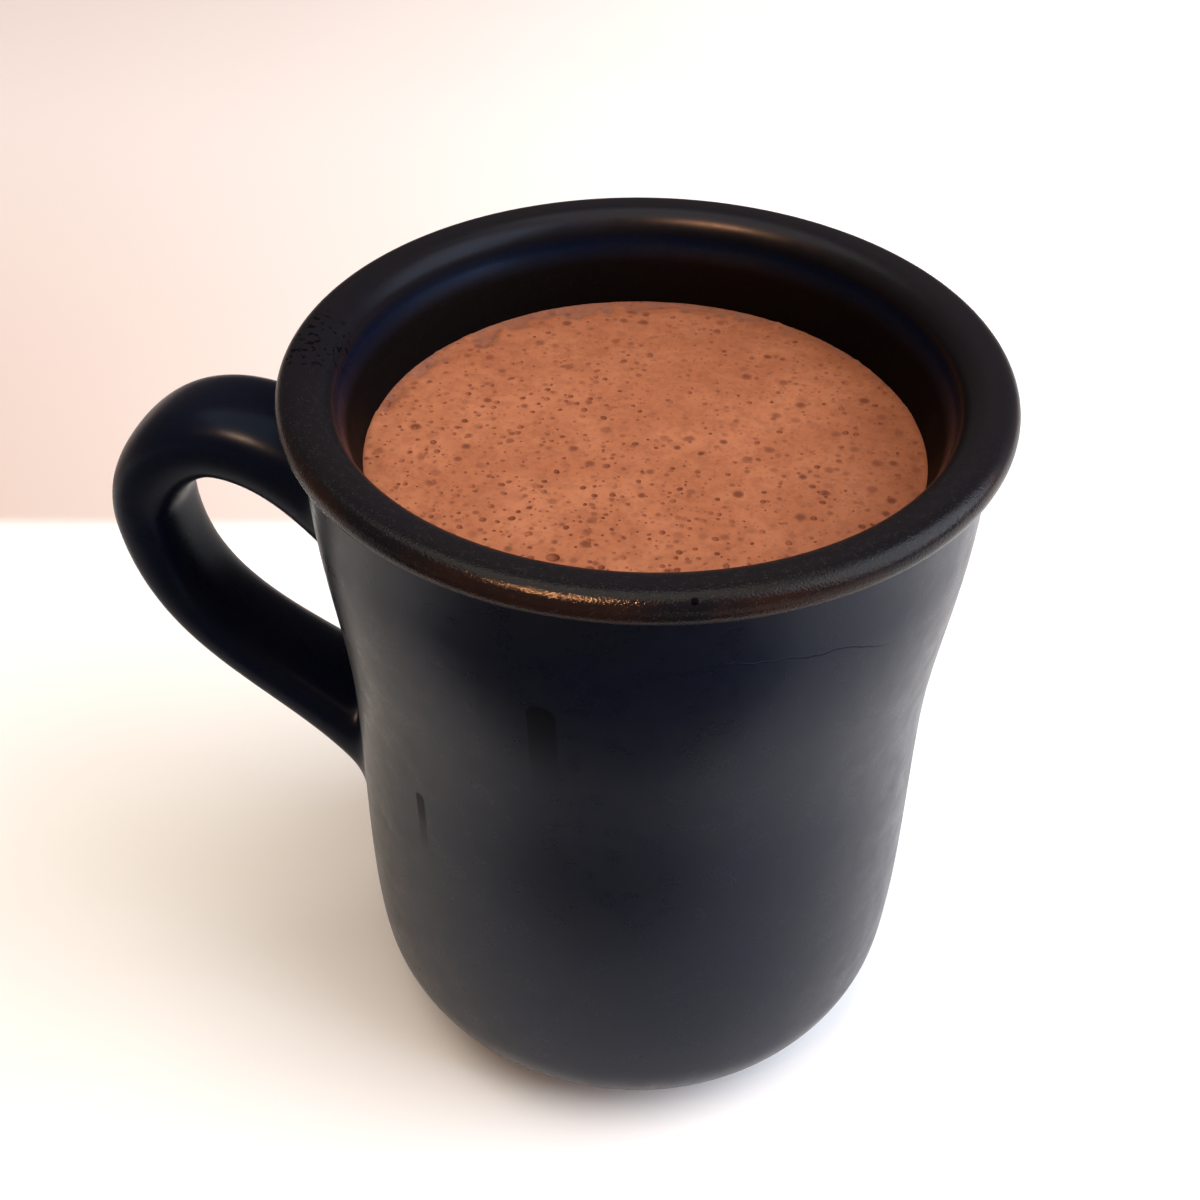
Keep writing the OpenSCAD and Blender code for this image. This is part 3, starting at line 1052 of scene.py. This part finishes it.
class SCENE_OT_studio(bpy.types.Operator):
    """Set the table top, the soft lights and the camera"""

    bl_idname = "scene.studio"
    bl_label = "Studio"

    # The table's size in metres
    TABLE = 4
    # Where the painted shade begins beyond the cup, and where it is palest
    SHEET_NEAR, SHEET_FAR = 100 * MM, 330 * MM
    # Where the painted shade has faded out, and where it shows in full
    SHEET_RIGHT, SHEET_LEFT = 190 * MM, -200 * MM
    # In metres: the card's width and depth, and its middle just over the table
    CARD_SIZE = (0.46, 0.42, 1)
    CARD_PLACE = (-0.11, -0.285, 0.001)

    def execute(self, context):
        s = context.scene.stage_sizes
        self.floor(s)
        self.black_card()
        self.lights()
        self.camera(context, s)
        return {"FINISHED"}

    def floor(self, s):
        deselect()
        bpy.ops.mesh.primitive_plane_add(size=self.TABLE)
        table = added_object("table_top")
        material, tree = new_material("pale_table_top")
        place = object_place(tree)
        tone = grain(tree, place, 90 * MM)
        # Painted shade beyond the cup: a darker pinkish tone on the table, paler far off,
        #         which fades out to the right
        turned = add_node(tree, "ShaderNodeVectorRotate", {0: place, "Angle": -s.turn},
                          rotation_type="Z_AXIS")
        axes = add_node(tree, "ShaderNodeSeparateXYZ", {0: turned.outputs[0]}).outputs
        behind = times(tree, band(tree, axes["Y"], self.SHEET_NEAR, self.SHEET_NEAR + 6 * MM),
                       band(tree, axes["X"], self.SHEET_RIGHT, self.SHEET_LEFT))
        far_off = band(tree, axes["Y"], self.SHEET_NEAR, self.SHEET_FAR)
        sheet = paint(tree, linear("#d3bbaa"), (far_off, linear("#e6d6c9")))
        base = paint(tree, s.floor, (band(tree, tone, 0.3, 0.7, 0.5), linear("#f8efe2")),
                     (behind, sheet))
        shade(tree, {"Base Color": base, "Roughness": 0.7})
        table.data.materials.append(material)

    def black_card(self):
        """A black card on the table, seen only in reflections, which keeps the glaze dark."""
        deselect()
        bpy.ops.mesh.primitive_plane_add(size=1)
        card = added_object("black_card")
        bpy.ops.object.mode_set(mode="EDIT")
        bpy.ops.mesh.select_all(action="SELECT")
        bpy.ops.transform.resize(value=self.CARD_SIZE)
        bpy.ops.transform.translate(value=self.CARD_PLACE)
        bpy.ops.object.mode_set(mode="OBJECT")
        material, tree = new_material("black_velvet_card")
        shade(tree, {"Base Color": linear("#1c1c20"), "Roughness": 0.9})
        card.data.materials.append(material)
        card.visible_camera = False
        card.visible_diffuse = False
        card.visible_shadow = False

    def lights(self):
        world = bpy.data.worlds.new("studio")
        bpy.context.scene.world = world
        world.use_nodes = True
        background = world.node_tree.nodes["Background"]
        background.inputs["Color"].default_value = linear("#f8e2da")
        background.inputs["Strength"].default_value = 0.22
        # Name, place in metres, size in metres, watts, colour
        self.softbox("window", (0.62, 0.04, 0.52), 0.75, 12.5, "#dce8ff")
        self.softbox("ceiling", (-0.15, -0.05, 1.15), 1.10, 12.3, "#fff9f3")
        # The lamp only gives glints
        lamp = self.softbox("lamp", (-0.22, -0.65, 0.90), 0.03, 34.0, "#ffb27c")
        lamp.visible_diffuse = False

    def softbox(self, name, place, size, watts, code):
        light = bpy.data.lights.new(name, "AREA")
        light.size = size
        light.energy = watts
        light.color = linear(code)[:3]
        lamp = bpy.data.objects.new(name, light)
        lamp.location = place
        aim = Vector((0, 0, 0.05)) - Vector(place)
        lamp.rotation_euler = aim.to_track_quat("-Z", "Y").to_euler()
        bpy.context.scene.collection.objects.link(lamp)
        return lamp

    def camera(self, context, s):
        camera = bpy.data.cameras.new("camera")
        camera.lens = s.lens
        camera.sensor_width = 36
        camera.clip_start = 0.01
        view = bpy.data.objects.new("camera", camera)
        level = Euler((math.pi / 2 - s.pitch, 0, s.turn)).to_matrix()
        place = Vector((math.sin(s.side), -math.cos(s.side), 0)) * s.distance
        place.z = s.camera_z
        view.matrix_world = Matrix.Translation(place) @ (
            level @ Matrix.Rotation(s.roll, 3, "Z")).to_4x4()
        context.scene.collection.objects.link(view)
        context.scene.camera = view
        context.scene.view_settings.view_transform = "Standard"


# ---------------------------------------------------------------- add-on

class VIEW3D_PT_hot_chocolate(bpy.types.Panel):
    """Lists what this add-on builds, with its sizes and colours"""

    bl_label = "Hot Chocolate"
    bl_space_type = "VIEW_3D"
    bl_region_type = "UI"
    bl_category = "Hot Chocolate"

    def draw(self, context):
        for group, operator in STEPS:
            box = self.layout.box()
            settings = getattr(context.scene, group)
            for name in type(settings).__annotations__:
                box.prop(settings, name)
            if operator:
                box.operator(operator)


STEPS = [
    ("mug_sizes", None),
    ("handle_sizes", "mesh.glazed_mug"),
    ("froth_sizes", "mesh.hot_chocolate"),
    ("finish", None),
    ("stage_sizes", "scene.studio"),
]
GROUPS = {"mug_sizes": MugSizes, "handle_sizes": HandleSizes, "froth_sizes": FrothSizes,
          "finish": Finish, "stage_sizes": StageSizes}
CLASSES = [*GROUPS.values(), MESH_OT_glazed_mug, MESH_OT_hot_chocolate, SCENE_OT_studio,
           VIEW3D_PT_hot_chocolate]


def register():
    for cls in CLASSES:
        bpy.utils.register_class(cls)
    for name, group in GROUPS.items():
        setattr(bpy.types.Scene, name, PointerProperty(type=group))


def unregister():
    for name in GROUPS:
        delattr(bpy.types.Scene, name)
    for cls in reversed(CLASSES):
        bpy.utils.unregister_class(cls)


def main():
    register()
    bpy.ops.scene.studio()
    bpy.ops.mesh.glazed_mug()
    bpy.ops.mesh.hot_chocolate()


if __name__ == "__main__":
    main()
